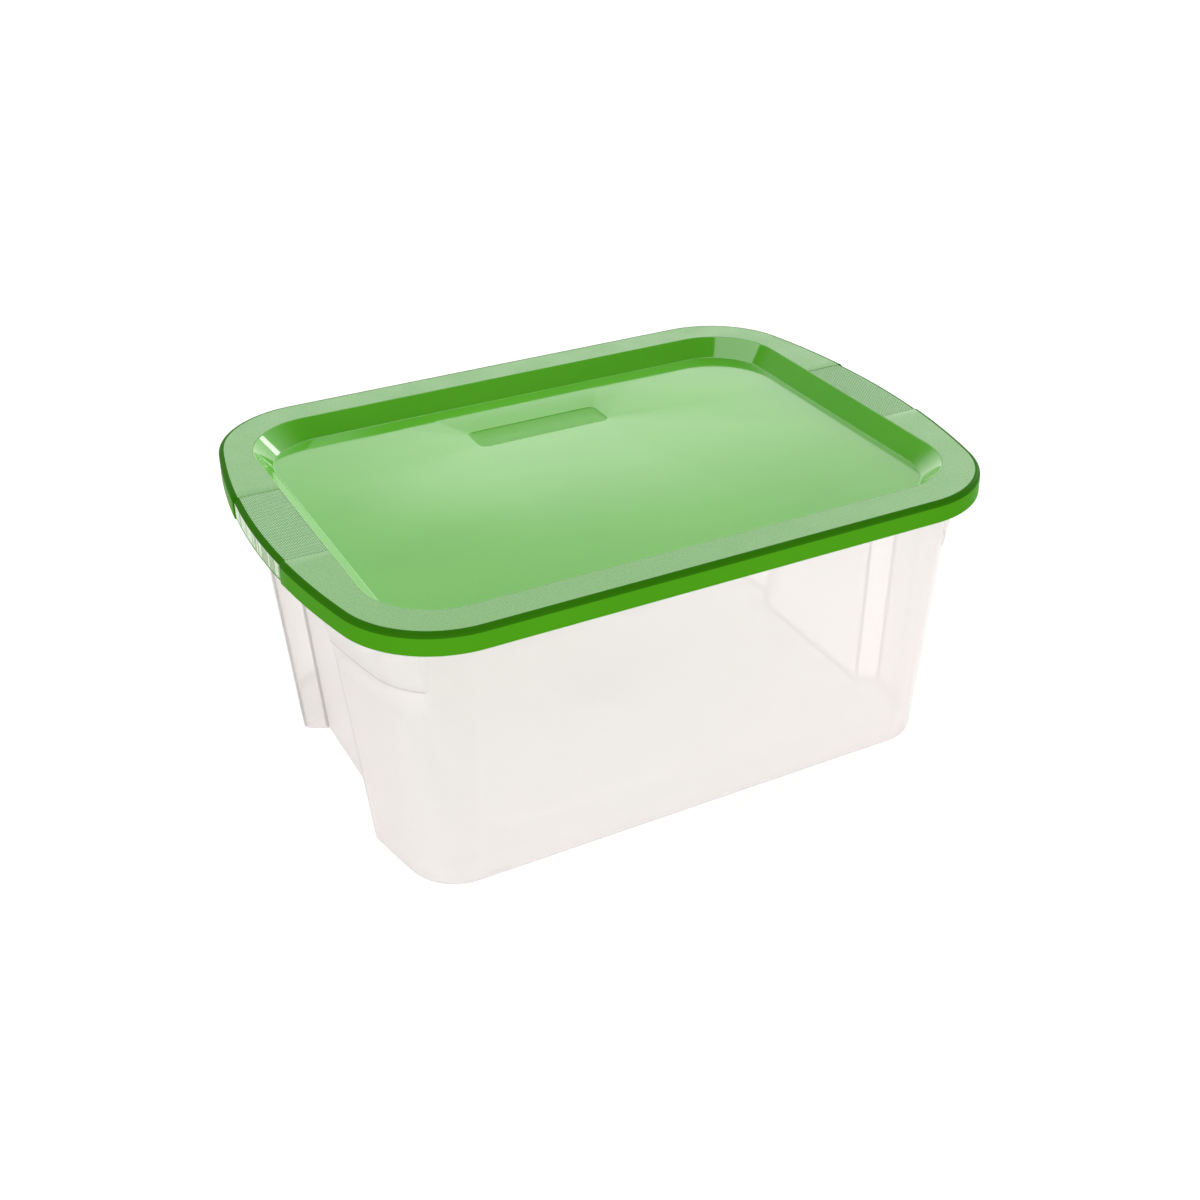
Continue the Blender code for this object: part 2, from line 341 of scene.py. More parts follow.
def fill(bm, edges, slot):
    """Fills the flat space that the edge loops bound."""
    made = bmesh.ops.triangle_fill(bm, edges=edges, use_beauty=True)
    for face in made["geom"]:
        if isinstance(face, bmesh.types.BMFace):
            face.material_index = slot


def cap_with_steps(loops, slot, inner_slot):
    """What closes a flat cap that holds a small stepped shape. loops are its rings, from outside in."""

    def close(bm, verts):
        rows = [[bm.verts.new(point) for point in loop] for loop in loops]
        fill(bm, edge_loop(bm, verts) + edge_loop(bm, rows[0]), slot)
        for outer, inner in zip(rows, rows[1:]):
            turned_outer = outer[1:] + outer[:1]
            turned_inner = inner[1:] + inner[:1]
            for corners in zip(outer, turned_outer, turned_inner, inner):
                bm.faces.new(corners).material_index = inner_slot
        fill(bm, edge_loop(bm, rows[-1]), inner_slot)

    return close


def rounded_rectangle(half_length, half_width, radius, centre, z, steps=8):
    points = []
    for x_side, y_side, start in ((1, 1, 0), (-1, 1, 90), (-1, -1, 180), (1, -1, 270)):
        for step in range(steps + 1):
            angle = math.radians(start + 90 * step / steps)
            x = centre[0] + x_side * (half_length - radius) + radius * math.cos(angle)
            y = centre[1] + y_side * (half_width - radius) + radius * math.sin(angle)
            points.append((x, y, z))
    return points


def circle(radius, z, steps=32):
    angles = [2 * math.pi * step / steps for step in range(steps)]
    return [(radius * math.cos(angle), radius * math.sin(angle), z) for angle in angles]


# ---------------------------------------------------------------- lid

GLOSS, SATIN, GRAIN, SHADED_EDGE, KNURL, KNURL_TIP, GROOVE, RIB, BADGE = range(9)

# Step at the edge of a grip zone: metres outside the zone, and share of the step
STEP_OUT = np.array([0.0005, 0.00035, 0.0002, 0.00005, -0.0001])
STEP_SHARE = np.array([0.0, 0.1, 0.5, 0.9, 1.0])

# Columns of a quarter of the lid: along the side, round the corner, down the end, over the step
# of the grip zone and across its ribs
LID_CORNER_COLUMNS = 25
LID_END_STEPS = 8
GRIP_COLUMNS = round(GRIP_HALF_WIDTH / RIB_PITCH) * RIB_STEPS
LID_CORNER_ANGLES = np.linspace(math.pi / 2, END_ANGLE, LID_CORNER_COLUMNS)
RIM_CORNER_ANGLES = np.linspace(math.pi / 2, 0.0, LID_CORNER_COLUMNS)
GRIP_Y = np.linspace(GRIP_HALF_WIDTH, 0.0, GRIP_COLUMNS + 1)[1:]
LID_SIDE_X = np.concatenate(
    [
        np.linspace(0.0, BEAD_HALF_LENGTH - BEAD_TAPER, BEAD_COLUMNS),
        np.linspace(BEAD_HALF_LENGTH, CORNER_X, BEAD_COLUMNS)[:-1],
    ]
)
PLAIN_COLUMNS = len(LID_SIDE_X) + LID_CORNER_COLUMNS + LID_END_STEPS - 1
LID_COLUMNS = PLAIN_COLUMNS + len(STEP_OUT) + GRIP_COLUMNS

# For each column, how far it is in the grip zone, and its number there, which is 0 outside
IN_GRIP = np.concatenate([np.zeros(PLAIN_COLUMNS), STEP_SHARE, np.ones(GRIP_COLUMNS)])
GRIP_INDEX = np.maximum(np.arange(LID_COLUMNS) - (LID_COLUMNS - GRIP_COLUMNS - 1), 0.0)


def end_columns(corner_end_y):
    """Where the columns of the end lie, from the corner to the middle of the end."""
    step = GRIP_HALF_WIDTH + STEP_OUT
    before = np.linspace(corner_end_y, step[0], LID_END_STEPS + 1)[1:-1]
    return np.concatenate([before, step, GRIP_Y])


def lid_edge(inset):
    """The lid's outer edge, moved in by the inset, with the grip zone set in further."""
    inset = np.broadcast_to(inset, LID_COLUMNS)
    side = side_points(LID_SIDE_X, HALF_WIDTH)
    side[:, 1] -= inset[: len(side)]
    turned = len(side) + LID_CORNER_COLUMNS
    corner = corner_points(LID_CORNER_ANGLES, inset[len(side) : turned])
    end_y = end_columns(CORNER_Y + CORNER_RADIUS * math.sin(END_ANGLE))
    end = end_points(end_y, inset[turned:] + GRIP_STEP * IN_GRIP[turned:])
    return np.concatenate([side, corner, end])


def rim_rectangle(grow):
    """The rim's inner edge, moved out by grow. Its corners get rounder down the slope."""
    radius = RIM_INNER_RADIUS + (RIM_INNER_RADIUS - PANEL_RADIUS) * grow / PANEL_STEP
    half_length = RIM_INNER_HALF_LENGTH + grow
    half_width = RIM_INNER_HALF_WIDTH + grow
    centre_x, centre_y = half_length - radius, half_width - radius
    side = side_points(LID_SIDE_X * centre_x / CORNER_X, half_width)
    corner_x = centre_x + radius * np.cos(RIM_CORNER_ANGLES)
    corner_y = centre_y + radius * np.sin(RIM_CORNER_ANGLES)
    end_y = end_columns(centre_y)
    end = np.column_stack([np.full(len(end_y), half_length), end_y])
    return np.concatenate([side, np.column_stack([corner_x, corner_y]), end])


def between_columns(values):
    return (values[:-1] + values[1:]) / 2


def slots_by_column(plain, grip):
    """Material slots of a band's faces. A face lies between two columns."""
    return np.where(between_columns(IN_GRIP) > 0.5, grip, plain)


def slope_rings():
    """Top of the panel's edge, up the slope and over the rim's inner edge."""
    corners = [(-PANEL_STEP - SUPPORT, PANEL), (-PANEL_STEP, PANEL), (0.0, TOP), (SUPPORT, TOP)]
    profile = rounded(corners, (SLOPE_FOOT_ROUND, SLOPE_TOP_ROUND), steps=6)
    return [at_height(rim_rectangle(grow), z) for grow, z in profile]


def knurl(row):
    """Height of the diamond knurl over each column: little pyramids between crossing grooves."""
    first = (GRIP_INDEX + row) % KNURL_STEPS / KNURL_STEPS
    second = (GRIP_INDEX - row) % KNURL_STEPS / KNURL_STEPS
    height = np.minimum(1 - abs(2 * first - 1), 1 - abs(2 * second - 1))
    return KNURL_HEIGHT * height * (GRIP_INDEX > 0)


def knurl_slots(row):
    """The little pyramids' tips are painted paler, as a painted highlight."""
    height = between_columns(knurl(row) + knurl(row + 1)) / 2
    lit_tips = height > KNURL_TIP_SHARE * KNURL_HEIGHT
    return slots_by_column(GRAIN, np.where(lit_tips, KNURL_TIP, KNURL))


def rib_slots():
    """Skirt: satin, ribs painted pale as glare, grooves painted as dimmer glare, and painted shade on
    the grip step.
    """
    rib = np.cos(2 * math.pi * between_columns(GRIP_INDEX) / RIB_STEPS) > 0
    slots = slots_by_column(SATIN, np.where(rib, RIB, GROOVE))
    on_step = between_columns(IN_GRIP)
    return np.where((on_step > 0) & (on_step < 1), SHADED_EDGE, slots)


def rim_rings():
    """The flat rim, with the knurled grip zone sunk a little into it."""
    inner = rim_rectangle(SUPPORT)
    outer = lid_edge(RIM_FILLET + SUPPORT)
    rings = []
    for row in range(1, RIM_ROWS):
        share = row / RIM_ROWS
        z = TOP - GRIP_SINK * IN_GRIP
        if KNURL_MARGIN_ROWS <= row <= RIM_ROWS - KNURL_MARGIN_ROWS:
            z = z + knurl(row)
        rings.append(at_height(inner * (1 - share) + outer * share, z))
    return rings


def rib_grooves(z):
    """Depth of the upright grooves between the grip zone's ribs at this height."""
    window = ramp(z, SKIRT_BOTTOM + RIB_FOOT, SKIRT_BOTTOM + 2 * RIB_FOOT)
    window *= 1 - ramp(z, TOP - RIM_FILLET - 2 * RIB_FOOT, TOP - RIM_FILLET)
    wave = (1 - np.cos(2 * math.pi * GRIP_INDEX / RIB_STEPS)) / 2
    return RIB_DEPTH * wave * window


def skirt_rings():
    """Over the rim's outer fillet and down the skirt, with the grip zone's ribs."""
    corners = [(RIM_FILLET + SUPPORT, TOP), (0.0, TOP), (0.0, SKIRT_BOTTOM)]
    profile = rounded(corners, (RIM_FILLET,), FILLET_BANDS - 1)[:-1]
    top, foot = TOP - RIM_FILLET, SKIRT_BOTTOM + SKIRT_EDGE_ROUND
    for z in np.linspace(top, foot, SKIRT_ROWS + 2)[1:-1]:
        profile.append((0.0, z))
    rings = []
    for inset, z in profile:
        sunk = GRIP_SINK * IN_GRIP * ramp(z, TOP - RIM_FILLET, TOP)
        rings.append(at_height(lid_edge(inset + rib_grooves(z)), z - sunk))
    return rings


def skirt_edge_rings():
    """Round the skirt's lower edge and up its inside."""
    start = (0.0, SKIRT_BOTTOM + SKIRT_EDGE_ROUND)
    end = (LID_WALL, SKIRT_BOTTOM + 2 * SKIRT_EDGE_ROUND)
    corners = [start, (0.0, SKIRT_BOTTOM), (LID_WALL, SKIRT_BOTTOM), end]
    rounds = (JUST_UNDER * SKIRT_EDGE_ROUND, SKIRT_EDGE_ROUND)
    profile = rounded(corners, rounds, steps=4)[1:]
    return [at_height(lid_edge(inset), z) for inset, z in profile]


def bead_rings():
    """Up the inside of the skirt over the snap beads, which stand on the middle of the long sides."""
    widest = math.acos((LID_WALL - BEAD_INSET) / BEAD_RADIUS)
    rings = []
    for angle in np.linspace(-widest, widest, BEAD_ROWS):
        z = BEAD_Z + BEAD_RADIUS * math.sin(angle)
        inset = np.full(LID_COLUMNS, LID_WALL)
        inset[:BEAD_COLUMNS] = BEAD_INSET + BEAD_RADIUS * math.cos(angle)
        rings.append(at_height(lid_edge(inset), z))
    return rings


def under_rings():
    """Under the rim and down the slope's underside to the underside of the panel."""
    corners = [
        (LID_WALL, BEAD_Z + 2 * BEAD_RADIUS),
        (LID_WALL, TOP - LID_WALL),
        (2 * RIM_FILLET, TOP - LID_WALL),
    ]
    rim = rounded(corners, (SLOPE_FOOT_ROUND,), steps=5)
    rings = [at_height(lid_edge(inset), z) for inset, z in rim]
    under_panel = PANEL - LID_WALL
    corners = [
        (UNDER_SHIFT + 2 * SUPPORT, TOP - LID_WALL),
        (UNDER_SHIFT, TOP - LID_WALL),
        (UNDER_SHIFT - PANEL_STEP, under_panel),
        (UNDER_SHIFT - PANEL_STEP - 2 * SUPPORT, under_panel),
    ]
    slope = rounded(corners, (SLOPE_FOOT_ROUND, SLOPE_FOOT_ROUND), steps=5)
    return rings + [at_height(rim_rectangle(grow), z) for grow, z in slope]


def badge_loops():
    """Rings of the badge field, from the panel down over a rounded edge to its floor."""
    loops = []
    for grow, share in BADGE_PROFILE:
        length, width = BADGE_HALF_LENGTH + grow, BADGE_HALF_WIDTH + grow
        z = PANEL - BADGE_DEPTH * share
        loops.append(rounded_rectangle(length, width, BADGE_RADIUS + grow, BADGE_CENTRE, z))
    return loops


def gate_loops(z, down):
    """Rings of a moulding's gate mark: a shallow dimple with a little nub in the middle."""
    depth = -GATE_DEPTH if down else GATE_DEPTH
    shares = zip(GATE_RADII, GATE_DEPTHS)
    return [circle(GATE_RADIUS * share, z - depth * rise) for share, rise in shares]


def make_lid():
    top = slope_rings()
    rim = rim_rings()
    skirt = skirt_rings()
    hidden = skirt_edge_rings() + bead_rings() + under_rings()
    gloss = slots_by_column(GLOSS, GLOSS)
    slots = [gloss] * (len(top) - 1)
    slots += [knurl_slots(row) for row in range(len(rim) + 1)]
    # The rim's rounded outer edge is painted dark, as painted shade
    slots += [slots_by_column(SHADED_EDGE, SHADED_EDGE)] * FILLET_BANDS
    slots += [rib_slots()] * (len(skirt) - 1 - FILLET_BANDS)
    slots += [slots_by_column(SATIN, SATIN)] * len(hidden)
    panel = cap_with_steps(badge_loops(), GLOSS, BADGE)
    underside = cap_with_steps(gate_loops(PANEL - LID_WALL, down=True), SATIN, SATIN)
    lid = loft("snap_lid", top + rim + skirt + hidden, slots, panel, underside)
    for material in lid_materials():
        lid.data.materials.append(material)
    lid.data.set_sharp_from_angle(angle=SHARP_ANGLE)
    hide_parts("lid")
    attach(lid, "lid")


# ---------------------------------------------------------------- tub

CLEAR, CLEAR_SHADED_EDGE, CLEAR_SHADOW_LINE = range(3)

# Columns of a quarter of the tub: along the side, round the corner with the collar's end on it,
# and down the bowed end. Then come the recess's tip, return wall, crease and back, or as many
# columns of a full end.
TUB_SIDE_COLUMNS = 7
TUB_CORNER_COLUMNS = 29
TUB_END_COLUMNS = 5
RETURN_STEPS = 5
ARC_STEPS = 6
BACK_COLUMNS = 4
RECESS_COLUMNS = 2 * (ARC_STEPS + 1) + RETURN_STEPS - 1 + BACK_COLUMNS
TUB_SIDE_X = np.linspace(0.0, CORNER_X, TUB_SIDE_COLUMNS)[:-1]
COLLAR_EDGE = COLLAR_END_ANGLE + COLLAR_END_STEP * np.array([0.5, 0.3, 0.0, -0.3, -0.5])
EVEN_ANGLES = np.linspace(math.pi / 2, END_ANGLE, TUB_CORNER_COLUMNS)
TUB_CORNER_ANGLES = np.sort(np.append(EVEN_ANGLES, COLLAR_EDGE))[::-1]
TUB_END_Y = np.linspace(0.0950, 0.0680, TUB_END_COLUMNS)
BACK_Y = np.linspace(0.0360, 0.0, BACK_COLUMNS)
FULL_Y = np.linspace(0.0600, 0.0, RECESS_COLUMNS)
FIRST_TIP = len(TUB_SIDE_X) + len(TUB_CORNER_ANGLES) + TUB_END_COLUMNS
FIRST_CREASE = FIRST_TIP + ARC_STEPS + RETURN_STEPS
TUB_FACES = FIRST_TIP + RECESS_COLUMNS - 1

# How much of the collar each column has: it runs from the corner to the recess's return wall
COLLAR_ON_CORNER = 1 - ramp(TUB_CORNER_ANGLES, COLLAR_EDGE[-1], COLLAR_EDGE[0])
COLLAR_ON_TIP = 1 - ramp(np.arange(RECESS_COLUMNS), ARC_STEPS, ARC_STEPS + RETURN_STEPS)
COLLAR_ON = np.concatenate(
    [np.zeros(len(TUB_SIDE_X)), COLLAR_ON_CORNER, np.ones(TUB_END_COLUMNS), COLLAR_ON_TIP]
)


def crease_of_recess(offset):
    """Where the slanted return wall meets the flat back of the recess."""
    narrower = offset * (1 - math.sin(RETURN_ANGLE)) / math.cos(RETURN_ANGLE)
    return (RECESS_X + offset, RECESS_HALF_WIDTH - narrower)


def tip_of_recess(offset):
    """Where the return wall meets the bowed end, found by closing in on it along the return wall."""
    crease_x, crease_y = crease_of_recess(offset)
    y = crease_y
    for _ in range(TIP_SEARCH_STEPS):
        radius = END_RADIUS - BASE_INSET + offset
        x = END_CENTRE_X - BASE_SHORTER + math.sqrt(radius**2 - y**2)
        y = crease_y + (x - crease_x) * math.tan(RETURN_ANGLE)
    return (x, y)


def recess_points(offset, wall):
    """The recess: tip, return wall, crease and half of the back. Inside the wall, radii change by it."""
    tip = tip_of_recess(offset)
    crease = crease_of_recess(offset)
    beyond = (tip[0], TUB_END_Y[-1])
    middle = (crease[0], 0.0)
    radii = (TIP_ROUND - wall, CREASE_ROUND + wall)
    turns = rounded([beyond, tip, crease, middle], radii, ARC_STEPS)
    tips = np.array(turns[1 : ARC_STEPS + 2])
    creases = np.array(turns[ARC_STEPS + 2 : -1])
    shares = np.linspace(0.0, 1.0, RETURN_STEPS + 1)[1:-1, None]
    between = tips[-1] * (1 - shares) + creases[0] * shares
    back = np.column_stack([np.full(BACK_COLUMNS, crease[0]), BACK_Y])
    return np.concatenate([tips, between, creases, back])


def tub_ring(offset, collar=0.0, recess=1.0, wall=0.0, z=0.0):
    """The tub's plan with its walls moved out by the offset from the base, as a ring at height z.

    recess goes from 0, a full end, to 1, the whole recess."""
    inset = BASE_INSET - offset
    side = side_points(TUB_SIDE_X, HALF_WIDTH - inset)
    corner = corner_points(TUB_CORNER_ANGLES, inset - collar * COLLAR_ON_CORNER, BASE_SHORTER)
    end = end_points(TUB_END_Y, inset - collar, BASE_SHORTER)
    middle = end_points(FULL_Y, inset - collar * COLLAR_ON_TIP, BASE_SHORTER)
    if recess > 0.0:
        recessed = recess_points(offset, wall) + np.outer(collar * COLLAR_ON_TIP, (1, 0))
        middle = middle * (1 - recess) + recessed * recess
    return at_height(np.concatenate([side, corner, end, middle]), z)


def collar_at(z):
    """How far the collar stands out at this height: a small ledge, then a flare."""
    ledge = COLLAR_STEP * ramp(z, COLLAR_BOTTOM - COLLAR_LEDGE, COLLAR_BOTTOM)
    return ledge + COLLAR_FLARE * max(0.0, z - COLLAR_BOTTOM)


def recess_at(z):
    """Share of the recess at this height: it closes under the rim, with rounded ends."""
    share = (CEILING_TOP - z) / (CEILING_TOP - RECESS_TOP)
    soft = CEILING_SOFTNESS
    return float(np.clip(share, 0.0, 1.0) * (1 - soft) + ramp(share, -soft, 1 + soft) * soft)


def rows_above(low, high, count):
    """Evenly spaced heights above low, up to high itself."""
    return np.linspace(low, high, count + 1)[1:]


def wall_heights():
    """Heights of the rings up a wall, close together where the wall turns."""
    ledge_foot = COLLAR_BOTTOM - COLLAR_LEDGE
    straight = rows_above(BASE_FILLET, ledge_foot, STRAIGHT_ROWS)
    ledge = rows_above(ledge_foot, COLLAR_BOTTOM, LEDGE_ROWS)
    line = [COLLAR_BOTTOM + COLLAR_LINE]
    collar = rows_above(COLLAR_BOTTOM, RECESS_TOP, COLLAR_ROWS)
    ceiling = rows_above(RECESS_TOP, CEILING_TOP, CEILING_ROWS)
    return np.concatenate([straight, ledge, line, collar, ceiling])


def fillet_rings(radius, lift, wall):
    """From the flat floor round into the wall."""
    rings = []
    for angle in np.linspace(0.0, math.pi / 2 - DRAFT, BASE_FILLET_ROWS):
        back = radius * (1 - math.sin(angle))
        offset = DRAFT * (radius + lift) - wall - back
        rings.append(tub_ring(offset, wall=wall, z=lift + radius * (1 - math.cos(angle))))
    return rings


def reach_in_field(angles, grow):
    """Distance from the middle to the edge of the round-cornered field, along each ray."""
    half_length, half_width = FIELD_HALF_LENGTH + grow, FIELD_HALF_WIDTH + grow
    radius = FIELD_RADIUS + grow
    cos, sin = np.cos(angles), np.sin(angles)
    reach = np.minimum(half_length / np.maximum(cos, TINY), half_width / np.maximum(sin, TINY))
    centre_x, centre_y = half_length - radius, half_width - radius
    along = cos * centre_x + sin * centre_y
    square = np.maximum(radius**2 - (centre_x**2 + centre_y**2 - along**2), 0.0)
    in_corner = (reach * cos > centre_x) & (reach * sin > centre_y)
    return np.where(in_corner, along + np.sqrt(square), reach)


def floor_rings(lift, wall):
    """Raised field of the floor, from its middle outwards over its slanted edge to the flat foot."""
    rings = []
    base = tub_ring(-wall)
    angles = np.arctan2(base[:, 1], base[:, 0])
    for out, share in FIELD_PROFILE:
        reach = reach_in_field(angles, out * FIELD_SLOPE)
        plan = np.column_stack([reach * np.cos(angles), reach * np.sin(angles)])
        rings.append(at_height(plan, lift + FIELD_HEIGHT * share))
    return rings


def outer_wall_rings():
    rings = []
    for z in wall_heights():
        rings.append(tub_ring(DRAFT * z, collar_at(z), recess_at(z), z=z))
    return rings


def inner_wall_rings():
    """The inside of the wall, from the rim down. The ceiling of a hand grip lies higher inside."""
    rings = []
    for z in wall_heights()[::-1]:
        height = z + CEILING_LIFT * ramp(z, COLLAR_BOTTOM, RECESS_TOP)
        offset = DRAFT * height - TUB_WALL
        rings.append(tub_ring(offset, collar_at(height), recess_at(z), TUB_WALL, height))
    return rings


def lip_rings():
    """Out under the flange, round the turned-down lip and back over the flange to the inside."""
    under = FLANGE_TOP - TUB_WALL
    collar = collar_at(under)
    lip = BASE_INSET - LIP_INSET
    corners = [
        (lip - TUB_WALL - LIP_ROUND, under),
        (lip - TUB_WALL, under),
        (lip - TUB_WALL, FLANGE_TOP - LIP_DROP),
        (lip, FLANGE_TOP - LIP_DROP),
        (lip, FLANGE_TOP),
        (lip - 2 * TUB_WALL, FLANGE_TOP),
    ]
    rounds = (LIP_ROUND / 2, LIP_EDGE_ROUND, LIP_EDGE_ROUND, LIP_ROUND)
    profile = rounded(corners, rounds, steps=4)
    rings = [tub_ring(DRAFT * under, collar, 0.0, z=under - LIP_EDGE_ROUND)]
    rings.append(tub_ring(DRAFT * under + LIP_EDGE_ROUND, collar, 0.0, z=under))
    rings += [tub_ring(offset, 0.0, 0.0, z=z) for offset, z in profile]
    for angle in np.linspace(0.0, math.pi / 2, LIP_ROUND_ROWS):
        z = FLANGE_TOP - LIP_ROUND * (1 - math.cos(angle))
        offset = DRAFT * z - TUB_WALL + LIP_ROUND * (1 - math.sin(angle))
        rings.append(tub_ring(offset, collar_at(z), 0.0, TUB_WALL, z))
    return rings


def wall_slots():
    """Slots of the wall's bands, from the foot up. Recess edges and the ledge get painted shadow lines.
    """
    arcs = np.full(TUB_FACES, CLEAR)
    for first in (FIRST_TIP, FIRST_CREASE):
        # The recess's rounded edges get painted shadow lines
        arcs[first : first + ARC_STEPS] = CLEAR_SHADOW_LINE
    ledge = np.where(between_columns(COLLAR_ON) > 0.5, CLEAR_SHADOW_LINE, arcs)
    slots = [arcs]
    for low, high in zip(wall_heights(), wall_heights()[1:]):
        middle = (low + high) / 2
        if middle > RECESS_TOP:
            slots.append(np.full(TUB_FACES, CLEAR))
        elif COLLAR_BOTTOM - COLLAR_LEDGE < middle < COLLAR_BOTTOM + COLLAR_LINE:
            slots.append(ledge)
        else:
            slots.append(arcs)
    return slots


def make_tub():
    foot = fillet_rings(BASE_FILLET, 0.0, 0.0)
    outside = floor_rings(0.0, 0.0) + foot + outer_wall_rings()
    inside = inner_wall_rings()
    inside += fillet_rings(BASE_FILLET - TUB_WALL, TUB_WALL, TUB_WALL)[::-1]
    inside += floor_rings(TUB_WALL, TUB_WALL)[::-1]
    rings = outside + lip_rings() + inside
    clear = np.full(TUB_FACES, CLEAR)
    slots = [clear] * (len(outside) - len(foot) - len(wall_heights()))
    # The rounded foot gets painted shade
    slots += [np.full(TUB_FACES, CLEAR_SHADED_EDGE)] * (len(foot) - 1) + wall_slots()
    slots += [clear] * (len(rings) - 1 - len(slots))
    under = cap_with_steps(gate_loops(FIELD_HEIGHT, down=True), CLEAR, CLEAR)
    field = [circle(GATE_RADIUS * share, FIELD_HEIGHT + TUB_WALL) for share in (1.0, 0.5)]
    floor = cap_with_steps(field, CLEAR, CLEAR)
    tub = loft("tub_shell", rings, slots, under, floor)
    for material in tub_materials():
        tub.data.materials.append(material)
    tub.data.set_sharp_from_angle(angle=SHARP_ANGLE)
    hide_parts("tub")
    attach(tub, "tub")


# ---------------------------------------------------------------- materials


def new_material(name):
    """A material with its node tree, its shader and its object coordinates."""
    material = bpy.data.materials.new(name)
    material.use_nodes = True
    tree = material.node_tree
    shader = tree.nodes["Principled BSDF"]
    place = tree.nodes.new("ShaderNodeTexCoord").outputs["Object"]
    return material, tree, shader, place


def noise(tree, place, scale, detail, stretch=(1.0, 1.0, 1.0)):
    """Noise over the object's own coordinates, with scale in features a metre."""
    mapping = tree.nodes.new("ShaderNodeMapping")
    mapping.inputs["Scale"].default_value = stretch
    tree.links.new(place, mapping.inputs["Vector"])
    node = tree.nodes.new("ShaderNodeTexNoise")
    node.inputs["Scale"].default_value = scale
    node.inputs["Detail"].default_value = detail
    tree.links.new(mapping.outputs["Vector"], node.inputs["Vector"])
    return node.outputs["Fac"]


def remap(tree, value, ends, results, interpolation="LINEAR"):
    """Takes the value from between the two ends to between the two results."""
    node = tree.nodes.new("ShaderNodeMapRange")
    node.interpolation_type = interpolation
    node.inputs["From Min"].default_value, node.inputs["From Max"].default_value = ends
    node.inputs["To Min"].default_value, node.inputs["To Max"].default_value = results
    tree.links.new(value, node.inputs["Value"])
    return node.outputs["Result"]


def spread(tree, value, low, high):
    """Maps the noise's middle range to low and high."""
    return remap(tree, value, NOISE_MIDDLE, (low, high))


def feed(tree, socket, value):
    """Sets the socket to a number, or links it to the socket that gives one."""
    if isinstance(value, float):
        socket.default_value = value
    else:
        tree.links.new(value, socket)


def blend_colours(tree, share, first, second):
    node = tree.nodes.new("ShaderNodeMix")
    node.data_type = "RGBA"
    node.inputs["A"].default_value = (*first, 1.0)
    node.inputs["B"].default_value = (*second, 1.0)
    tree.links.new(share, node.inputs["Factor"])
    return node.outputs["Result"]


def mix_values(tree, share, first, second):
    """Mixes two values. Each input is a number or a socket."""
    node = tree.nodes.new("ShaderNodeMix")
    for name, value in (("Factor", share), ("A", first), ("B", second)):
        feed(tree, node.inputs[name], value)
    return node.outputs["Result"]


def mix_shaders(tree, share, first, second):
    node = tree.nodes.new("ShaderNodeMixShader")
    feed(tree, node.inputs["Fac"], share)
    tree.links.new(first, node.inputs[1])
    tree.links.new(second, node.inputs[2])
    return node.outputs["Shader"]


def bump(tree, height, distance, strength, under=None):
    node = tree.nodes.new("ShaderNodeBump")
    node.inputs["Distance"].default_value = distance
    node.inputs["Strength"].default_value = strength
    tree.links.new(height, node.inputs["Height"])
    if under is not None:
        tree.links.new(under, node.inputs["Normal"])
    return node.outputs["Normal"]


# The range in which most of a noise's values lie
NOISE_MIDDLE = (0.3, 0.7)

# Green plastic: the two tones that each surface flows between. The satin and the badge have the panel's
# tones, darkened to a share. The satin's darkening is painted shade, for the skirt that faces away from
# the light.
GREENS = ((0.082, 0.405, 0.010), (0.098, 0.440, 0.013))
SATIN_SHADE_TONE = 0.72
BADGE_TONE = 0.93
# Painted shade: a dark green for the rim's rounded outer edge and the step into each grip zone
SHADED_EDGE_GREENS = ((0.026, 0.150, 0.003), (0.031, 0.165, 0.004))
# Rim and knurl: darker than the panel as painted shade of the grain's pits, and greyed as a painted
# sheen of glare
RIM_SHADE_AND_SHEEN_GREENS = ((0.085, 0.285, 0.050), (0.155, 0.440, 0.080))
VALLEY_SHADE_AND_SHEEN_GREENS = ((0.080, 0.290, 0.050), (0.095, 0.315, 0.060))
# Painted highlight: pale tips of the knurl's little pyramids
TIP_HIGHLIGHT_GREENS = ((0.380, 0.680, 0.320), (0.410, 0.700, 0.340))
# Painted glare on the grip zone's skirt: pale ribs as a painted highlight, greyish grooves as dimmer
# painted glare
GROOVE_DIM_GLARE_GREENS = ((0.20, 0.34, 0.15), (0.22, 0.36, 0.17))
RIB_GLARE_GREENS = ((0.66, 0.82, 0.60), (0.69, 0.85, 0.63))
GREEN_IOR = 1.5
GREEN_FLOW = {"scale": 9.0, "detail": 2.0, "stretch": (1.0, 2.2, 1.0)}
GREEN_RUB = {"scale": 60.0, "detail": 4.0}
GREEN_WAVE = {"scale": 14.0, "detail": 1.0}
WAVE_HEIGHT = 0.001
WAVE_STRENGTH = 0.02
GRAIN_HEIGHT = 0.00015
GRAIN_DETAIL = 3.0

# Grains of the green plastic: size in metres, strength, and how much of the shading follows it
POLISHED = (0.0020, 0.01, 0.1)
SMOOTH = (0.0008, 0.05, 0.3)
PITTED = (0.0009, 0.80, 0.9)
KNURL_GRAIN = (0.0005, 0.30, 0.3)
RIB_GRAIN = (0.0006, 0.20, 0.3)
BADGE_GRAIN = (0.0004, 0.60, 0.5)

# Clear plastic: its milkiness is the share of what is behind it that it hides, straight ahead,
# and it grows to the last value where the wall is looked through aslant
CLEAR_WHITES = ((0.960, 0.925, 0.935), (0.970, 0.925, 0.920))
WALL_TONE, WALL_MILKINESS = 1.0, 0.29
# Painted shade: the tub's rounded foot is darker
EDGE_SHADE_TONE, EDGE_MILKINESS = 0.84, 0.75
